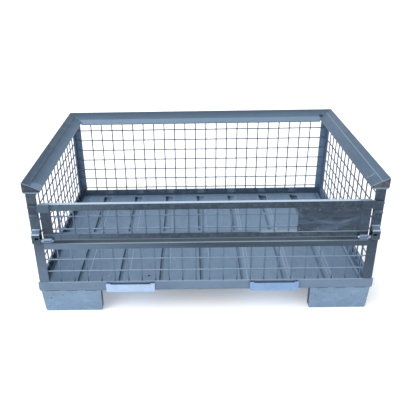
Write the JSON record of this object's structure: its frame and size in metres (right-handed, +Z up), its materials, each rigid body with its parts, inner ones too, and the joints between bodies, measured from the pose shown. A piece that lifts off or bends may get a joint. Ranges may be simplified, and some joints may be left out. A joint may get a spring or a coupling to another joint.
{
  "type": "half-height wire mesh pallet cage",
  "caption": "Half-height stackable wire mesh pallet cage with ribbed sheet floor, hollow feet, sloped stacking rim and a lift-and-drop front flap.",
  "frame": {"origin": "on the floor, under the middle of the overall footprint", "axes": "+Z up, +X to the right as seen from the front, +Y towards the closed back wall; the flap is on the -Y side"},
  "size_m": [1.24, 0.848, 0.53],
  "materials": {
    "bright_zinc": "bright galvanised, satin",
    "dark_zinc": "weathered galvanised, matt",
    "flap_zinc": "galvanised, satin",
    "floor_zinc": "hot-dip galvanised sheet, satin",
    "frame_zinc": "hot-dip galvanised, satin",
    "plate_zinc": "weathered galvanised sheet, matt",
    "rim_zinc": "galvanised, satin",
    "wire_zinc": "galvanised wire, satin"
  },
  "bodies": {
    "cage": {"base_rail_front": "frame_zinc", "base_rail_rear": "frame_zinc", "base_rail_left": "frame_zinc", "base_rail_right": "frame_zinc", "floor_sheet": "floor_zinc", "floor_bearers": "frame_zinc", "fork_skid_left": "bright_zinc", "fork_skid_right": "bright_zinc", "fork_guide_front_left": "bright_zinc", "fork_guide_front_right": "bright_zinc", "fork_guide_rear_left": "bright_zinc", "fork_guide_rear_right": "bright_zinc", "foot_front_left": "frame_zinc", "foot_front_right": "frame_zinc", "foot_rear_left": "frame_zinc", "foot_rear_right": "frame_zinc", "post_front_left": "dark_zinc", "post_front_right": "dark_zinc", "post_rear_left": "dark_zinc", "post_rear_right": "dark_zinc", "rim_left": "rim_zinc", "rim_right": "rim_zinc", "rim_rear": "rim_zinc", "rim_cap_left": "dark_zinc", "rim_cap_right": "dark_zinc", "mesh_left": "wire_zinc", "mesh_right": "wire_zinc", "mesh_rear": "wire_zinc", "mesh_front": "wire_zinc", "panel_rail": "frame_zinc", "keeper_left": "dark_zinc", "keeper_right": "dark_zinc", "hinge_pocket_left": "bright_zinc", "hinge_pocket_right": "bright_zinc"},
    "pins": {"hinge_pin_left": "bright_zinc", "hinge_pin_right": "bright_zinc"},
    "flap": {"flap_top_rail": "flap_zinc", "flap_bottom_rail": "flap_zinc", "flap_stile_left": "dark_zinc", "flap_stile_right": "dark_zinc", "flap_mesh": "wire_zinc", "label_plate": "plate_zinc", "flap_tab_left": "dark_zinc", "flap_tab_right": "dark_zinc", "hinge_bush_left": "bright_zinc", "hinge_bush_right": "bright_zinc"}
  },
  "joints": [
    {"name": "flap_lift", "type": "slide", "parent": "cage", "child": "pins", "axis": [0, 0, 1], "range_m": [0, 0.02]},
    {"name": "flap_hinge", "type": "hinge", "parent": "pins", "child": "flap", "pos_m": [0, -0.413, 0.312], "axis": [1, 0, 0], "range_deg": [0, 180]}
  ]
}
